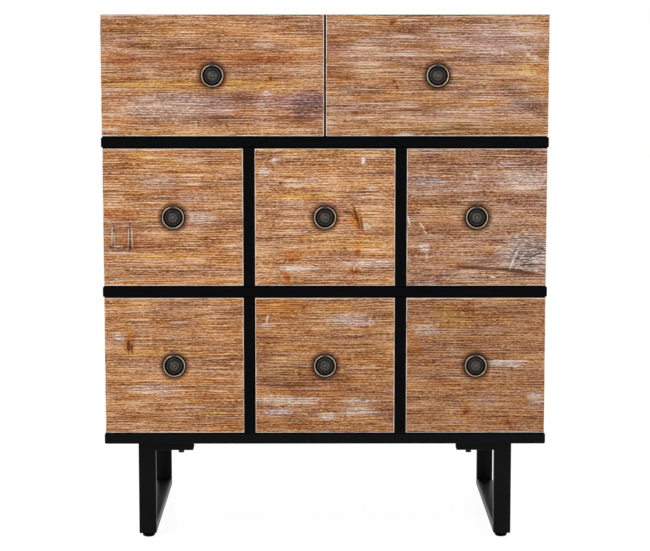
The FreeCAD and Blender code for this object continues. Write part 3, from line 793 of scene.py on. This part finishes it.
def new_piece(name, grids, body, node, slot, sharp=40.0, rub=None, material=None):
    """Makes one piece from grids of points in millimetres, each with its faces.

    Points that meet, as at a pole, are merged, all faces are turned outwards, and edges sharper
    than so many degrees stay sharp. The finish is the slot's, unless a material is given."""
    points = np.concatenate([grid.reshape(-1, 3) for grid, _ in grids]) * MM
    starts = np.cumsum([0] + [grid.size // 3 for grid, _ in grids])
    faces = [face + start for (_, faces), start in zip(grids, starts) for face in faces]
    mesh = bpy.data.meshes.new(name)
    mesh.from_pydata(points.tolist(), [], [face.tolist() for face in faces])
    if rub is not None:
        handled = mesh.attributes.new("rub", "FLOAT", "POINT").data
        handled.foreach_set("value", rub.ravel().astype(np.float32))
    shape = bmesh.new()
    shape.from_mesh(mesh)
    bmesh.ops.remove_doubles(shape, verts=shape.verts, dist=1e-7)
    bmesh.ops.recalc_face_normals(shape, faces=shape.faces)
    shape.to_mesh(mesh)
    shape.free()
    mesh.shade_smooth()
    mesh.set_sharp_from_angle(angle=math.radians(sharp))
    mesh.materials.append(material or FINISHES[slot])
    piece = new_object(name, mesh)
    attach(piece, body)
    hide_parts(node)


def smooth_noise(x, z, cell_x, cell_z, seed):
    """Seeded noise over arrays of x and z: random heights at cells' corners, eased between."""
    heights = np.random.default_rng(seed).random((NOISE_CELLS, NOISE_CELLS))
    column, row = x / cell_x, z / cell_z
    left, low = np.floor(column).astype(int), np.floor(row).astype(int)
    across, up = column - left, row - low
    across, up = across * across * (3 - 2 * across), up * up * (3 - 2 * up)

    def corner(i, j):
        return heights[(low + j) % NOISE_CELLS, (left + i) % NOISE_CELLS]

    lower = corner(0, 0) * (1 - across) + corner(1, 0) * across
    upper = corner(0, 1) * (1 - across) + corner(1, 1) * across
    return lower * (1 - up) + upper * up


def rounded_steps(half, cell, thick):
    """Steps from one side of a face to the other, round its arrises and back along its sides.

    Gives each step's distance from the middle and how far back it lies."""
    flat = np.linspace(0.0, half - FRONT_ROUND, max(2, int(half / cell)))
    turn = np.linspace(0.0, math.pi / 2, ROUND_STEPS)[1:]
    out = np.concatenate([flat, half - FRONT_ROUND * (1 - np.sin(turn)), [half, half]])
    back = np.concatenate([flat * 0, FRONT_ROUND * (1 - np.cos(turn)), [thick / 2, thick]])
    return np.concatenate([-out[:0:-1], out]), np.concatenate([back[:0:-1], back])


def drawer_front(name):
    """Makes the wooden front, one grid with a flat back, and gives back the middle of its face.

    A point lies back by the larger of what the two arrises give, plus hollows, which fade towards
    the rim."""
    low, high = (np.array(corner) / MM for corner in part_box("drawer_front_" + name))
    middle, half = (low + high) / 2, (high - low) / 2
    thick = high[1] - low[1]
    across, back_across = rounded_steps(half[0], FRONT_CELL[0], thick)
    up, back_up = rounded_steps(half[2], FRONT_CELL[1], thick)
    x, z = np.meshgrid(middle[0] + across, middle[2] + up)
    back = np.maximum(*np.meshgrid(back_across, back_up))
    seed = DRAWERS.index(name)
    cell_x, cell_z, height = BRUSH_DRIFT
    drift = height * smooth_noise(x, z, cell_x, cell_z, seed)
    hollow = 0.0
    for cell_x, cell_z, share in BRUSH_HOLLOWS:
        seed += SEED_STEP
        hollow = hollow + share * smooth_noise(x, z + drift, cell_x, cell_z, seed)
    rim = np.minimum(half[0] - abs(x - middle[0]), half[2] - abs(z - middle[2]))
    fade = np.clip((rim - FRONT_ROUND) / BRUSH_FADE, 0.0, 1.0)
    face = np.stack([x, low[1] + back + BRUSH_DEPTH * hollow * fade, z], -1)
    rows, columns = x.shape
    index = np.arange(rows * columns).reshape(rows, columns)
    around = np.concatenate([index[0], index[1:, -1], index[-1, -2::-1], index[-2:0:-1, 0]])
    faces = list(grid_faces(rows, columns)) + [around]
    body, node = "drawer_" + name, "drawer_front_" + name
    wood = limed_fir(name)
    new_piece("front_" + name, [(face, faces)], body, node, "limed_fir", 60.0, material=wood)
    return middle[0], low[1], middle[2]


def full_turn(steps):
    """The angles of a full turn in so many equal steps."""
    return np.linspace(0.0, 2 * math.pi, steps, endpoint=False)


def turned(profile, sides):
    """A profile of radius and height turned about an axis: a grid of points, x, y and height."""
    radius, height = np.array(profile, float).T
    turn = full_turn(sides)
    x, y = np.outer(radius, np.cos(turn)), np.outer(radius, np.sin(turn))
    z = np.repeat(height[:, None], sides, 1)
    return np.stack([x, y, z], -1)


def on_front(points, spot, close_rows=False):
    """Turns a form made about z to point out of the front at a spot, and gives its faces too."""
    x, y, z = spot
    grid = np.stack([x + points[..., 0], y - points[..., 2], z + points[..., 1]], -1)
    return grid, grid_faces(*points.shape[:2], close_rows, True)


def plate_profile():
    """Radius and height of the backplate: its rim, the dome's step, the ridges and the bead.

    The dome rises as a parabola, a cosine of the radius cuts the ridges into it, and the bead is a
    quarter turn."""
    radius = np.linspace(DOME_OUTER, DOME_INNER, DOME_STEPS)
    slope = DOME_LOW + DOME_RISE * (1 - ((radius - DOME_INNER) / DOME_REACH) ** 2)
    turn = 2 * math.pi * (radius - RIDGE_RADIUS) / RIDGE_PITCH
    dome = np.stack([radius, slope + RIDGE_DEPTH * np.cos(turn) - RIDGE_DEPTH], -1)
    turn = np.linspace(0.0, math.pi / 2, BEAD_STEPS)
    bead = np.stack([BEAD_RADIUS * np.cos(turn), BEAD_LOW + BEAD_RISE * np.sin(turn)], -1)
    return np.concatenate([PLATE_RIM, dome, bead])


def reeded_plate():
    """The backplate, turned from its profile, with fine radial reeding, and how far it is rubbed.

    The reeding lifts a point by a cosine of its angle where its radius is near a band's."""
    profile = plate_profile()
    plate = turned(profile, PLATE_SIDES)
    radius = profile[:, 0]
    reeds = np.cos(REEDS * full_turn(PLATE_SIDES))
    band = sum(share * np.exp(-((radius - middle) ** 2)) for middle, share in REED_BANDS)
    plate[..., 2] += REED_HEIGHT * np.outer(band, reeds)
    worn = np.interp(radius, *np.array(PLATE_WEAR).T)
    worn = np.repeat(worn[:, None], PLATE_SIDES, 1)
    return plate, worn + REED_WEAR * np.outer(band, np.maximum(0.0, reeds))


def pull_eye():
    """The eye, a thick-walled block with a round hole for the ring, and how far it is rubbed.

    An outline goes over the block's wall, in through the hole and back. The block's reach is its
    half height over the fourth root of the fourth powers of its angle's cosine and sine."""
    around = full_turn(EYE_STEPS)
    outer = EYE_HALF / (abs(np.cos(around)) ** 4 + abs(np.sin(around)) ** 4) ** 0.25
    hole = 0 * outer + EYE_HOLE
    wall = [
        (outer, EYE_HALF_WIDTH - EYE_BEVEL),
        (outer - EYE_BEVEL, EYE_HALF_WIDTH),
        (hole + HOLE_FLARE, EYE_HALF_WIDTH),
        (hole, EYE_HALF_WIDTH - HOLE_BEVEL),
    ]
    wall += [(reach, -side) for reach, side in reversed(wall)]
    reach = np.stack([reach for reach, _ in wall])
    side = np.stack([0 * outer + side for _, side in wall])
    up, out = RING_RADIUS + reach * np.cos(around), RING_OUT + reach * np.sin(around)
    rub = np.clip((out - EYE_WEAR_FROM) / EYE_WEAR_RUN, 0.0, EYE_WEAR_MOST)
    return np.stack([side, up, out], -1), rub


def pull_plate(name, spot):
    """The backplate with its eye, as one piece."""
    (plate, plate_rub), (eye, eye_rub) = reeded_plate(), pull_eye()
    grids = [on_front(plate, spot), on_front(eye, spot, close_rows=True)]
    rub = np.concatenate([plate_rub.ravel(), eye_rub.ravel()])
    body, node, slot = "drawer_" + name, "pull_plate_" + name, "dark_bronze"
    new_piece("plate_" + name, grids, body, node, slot, 50.0, rub)


def pull_screw(name, spot):
    """The screw from inside the drawer, turned from its profile, that holds the backplate."""
    grid = on_front(turned(SCREW_PROFILE, SCREW_SIDES), spot)
    new_piece("plate_screw_" + name, [grid], "drawer_" + name, "pull_plate_" + name, "screw_steel")


def pull_ring(name, spot):
    """The hanging ring: a round wire carried round a circle, bright where it is handled.

    The wire's radius times the cosine of the angle round the wire adds to a point's distance from
    the ring's middle, and times the sine to its height."""
    around = full_turn(RING_STEPS)[:, None]
    wire = full_turn(WIRE_STEPS)[None, :]
    reach = RING_RADIUS + RING_WIRE * np.cos(wire)
    out = RING_OUT + RING_WIRE * np.sin(wire) + 0 * around
    ring = np.stack([reach * np.sin(around), reach * np.cos(around), out], -1)
    rub = RING_WEAR * np.sin(wire + RING_WEAR_TURN) - RING_WEAR_LESS
    rub = np.clip(rub + 0 * around, 0.0, 1.0)
    grid = on_front(ring, spot, close_rows=True)
    body, node, slot = "ring_" + name, "pull_ring_" + name, "antique_brass"
    new_piece("ring_pull_" + name, [grid], body, node, slot, 60.0, rub)


def rounded_box(half_a, half_b, radius, steps=4):
    """The outline of a rounded rectangle as two arrays, four corner arcs in turn."""
    turn = np.linspace(0.0, math.pi / 2, steps)
    turns = np.concatenate([turn + k * math.pi / 2 for k in range(4)])
    a = np.repeat([1, -1, -1, 1], steps) * (half_a - radius) + radius * np.cos(turns)
    b = np.repeat([1, 1, -1, -1], steps) * (half_b - radius) + radius * np.sin(turns)
    return a, b


def leg_frame(side):
    """The loop of tube: a rounded outline carried round a rectangle, mitred at its corners.

    Each section is the loop's outer corner moved in by the outline's second measure both ways, and
    the first measure lies along x. Each arm runs straight inwards and back along its bore."""
    sign = -1.0 if side == "left" else 1.0
    across, thick = rounded_box(TUBE_WIDE / 2, TUBE_THICK / 2, TUBE_ROUND)
    inward = thick + TUBE_THICK / 2
    middle = (LEG_IN + LEG_OUT) / 2
    corners = (
        (LEG_FRONT, LEG_BASE, 1, 1), (LEG_REAR, LEG_BASE, -1, 1),
        (LEG_REAR, CASE_BASE, -1, -1), (LEG_FRONT, CASE_BASE, 1, -1),
    )
    sections = [
        np.stack([middle + across, y + step_y * inward, z + step_z * inward], -1)
        for y, z, step_y, step_z in corners
    ]
    grids = [(np.stack(sections), grid_faces(len(sections), len(across), True, True))]
    z = CASE_BASE - TUBE_THICK / 2
    start = LEG_IN + ARM_LAP
    for y in (LEG_FRONT + TUBE_WIDE / 2, LEG_REAR - TUBE_WIDE / 2):
        sections = []
        for x, wall in ((start, 0.0), (ARM_END, 0.0), (ARM_END, TUBE_WALL), (start, TUBE_WALL)):
            half_wide, half_thick = TUBE_WIDE / 2 - wall, TUBE_THICK / 2 - wall
            wide, up = rounded_box(half_wide, half_thick, max(BORE_ROUND, TUBE_ROUND - wall))
            sections.append(np.stack([x + 0 * wide, y + wide, z + up], -1))
        grids.append((np.stack(sections), grid_faces(len(sections), len(wide), True, True)))
    grids = [(grid * (sign, 1.0, 1.0), faces) for grid, faces in grids]
    new_piece(side + "_leg_loop", grids, "case", side + "_leg_frame", "black_steel", 35.0)


def levelling_foot(end, side):
    """A foot turned from its profile: a bevelled tread, a plain edge and the stem in the tube."""
    x = FOOT_X if side == "right" else -FOOT_X
    foot = turned(FOOT_PROFILE, FOOT_SIDES) + (x, FOOT_Y[end], 0.0)
    name, slot = "foot_" + end + "_" + side, "foot_plastic"
    grid = (foot, grid_faces(*foot.shape[:2], close_columns=True))
    new_piece("levelling_" + name, [grid], name, name, slot, 35.0)


# Building


for subpart in frame["record"]["subparts"]:
    node, finish = subpart["node"], subpart["material_slot"]
    if finish in FINISHES:
        frame["nodes"][node].data.materials.clear()
        frame["nodes"][node].data.materials.append(FINISHES[finish])

for name in DRAWERS:
    spot = drawer_front(name)
    pull_plate(name, spot)
    pull_screw(name, spot)
    pull_ring(name, spot)

for side in ("left", "right"):
    leg_frame(side)
    for end in ("front", "rear"):
        levelling_foot(end, side)


# Studio

# Soft square lamps that face the middle of the chest: place in metres and power in watts
LAMPS = {
    "key": ((-2.3, -3.2, 2.6), 75.0),
    "fill": ((2.6, -3.2, 1.4), 45.0),
    "behind": ((0.5, 3.0, 2.8), 40.0),
}
LAMP_SIZE = 2.0
LAMP_AIM = (0.0, 0.0, 0.5)

# Light from all round, and the floor: half its width in metres, its colour, and how strongly and
# for what share it glows where it is seen directly
SKY_STRENGTH = 0.55
FLOOR_HALF = 6.0
FLOOR_COLOUR = (0.86, 0.86, 0.86)
FLOOR_GLOW, GLOW_SHARE = 1.12, 0.84
WHITE = (1.0, 1.0, 1.0)


def seen_directly(net):
    """1 for camera, glossy and transmission rays, and 0 for the rest."""
    path = net.place("LightPath").outputs
    seen = net.math("MAXIMUM", path["Is Camera Ray"], path["Is Glossy Ray"])
    return net.math("MAXIMUM", seen, path["Is Transmission Ray"])


def studio_world():
    """Even light from all round, which is plain white where it is seen directly."""
    world = bpy.data.worlds.new("studio")
    world.use_nodes = True
    net = Net(world.node_tree)
    background = world.node_tree.nodes["Background"].inputs
    background["Color"].default_value = rgba(WHITE)
    strength = net.between(seen_directly(net), 0.0, 1.0, SKY_STRENGTH, 1.0)
    net.feed(background, {"Strength": strength})
    bpy.context.scene.world = world


def studio_floor():
    """A wide pale floor that the camera sees as white, but for the shadow on it."""
    reach = np.array([-FLOOR_HALF, FLOOR_HALF])
    x, y = np.meshgrid(reach, reach)
    mesh = bpy.data.meshes.new("floor")
    mesh.from_pydata(np.stack([x, y, 0 * x], -1).reshape(-1, 3).tolist(), [], [[0, 1, 3, 2]])
    material = bpy.data.materials.new("pale_floor")
    material.use_nodes = True
    net = Net(material.node_tree)
    net.tree.nodes.remove(net.tree.nodes["Principled BSDF"])
    diffuse = net.place("BsdfDiffuse", {"Color": FLOOR_COLOUR}).outputs[0]
    glow = net.place("Emission", {"Color": WHITE, "Strength": FLOOR_GLOW}).outputs[0]
    share = net.times(seen_directly(net), GLOW_SHARE)
    both = net.place("MixShader", {0: share, 1: diffuse, 2: glow}).outputs[0]
    net.tree.links.new(both, net.tree.nodes["Material Output"].inputs["Surface"])
    mesh.materials.append(material)
    new_object("floor", mesh)


def soft_lamp(name, place, power):
    """A large square lamp that faces the middle of the chest."""
    data = bpy.data.lights.new(name, "AREA")
    data.size = LAMP_SIZE
    data.energy = power
    lamp = new_object(name, data)
    lamp.location = place
    aim = Vector(LAMP_AIM) - lamp.location
    lamp.rotation_euler = aim.to_track_quat("-Z", "Y").to_euler()


def photograph_camera():
    """The camera at the photograph's place."""
    data = bpy.data.cameras.new("camera")
    data.sensor_fit = "HORIZONTAL"
    data.sensor_width = CAMERA_SENSOR
    data.lens = CAMERA_LENS
    camera = new_object("camera", data)
    camera.location = CAMERA_PLACE
    camera.rotation_euler = (math.radians(90 - CAMERA_DOWN), 0.0, math.radians(-CAMERA_RIGHT))
    bpy.context.scene.camera = camera


studio_world()
studio_floor()
for name, (place, power) in LAMPS.items():
    soft_lamp(name, place, power)
photograph_camera()
bpy.context.scene.view_settings.view_transform = "Standard"
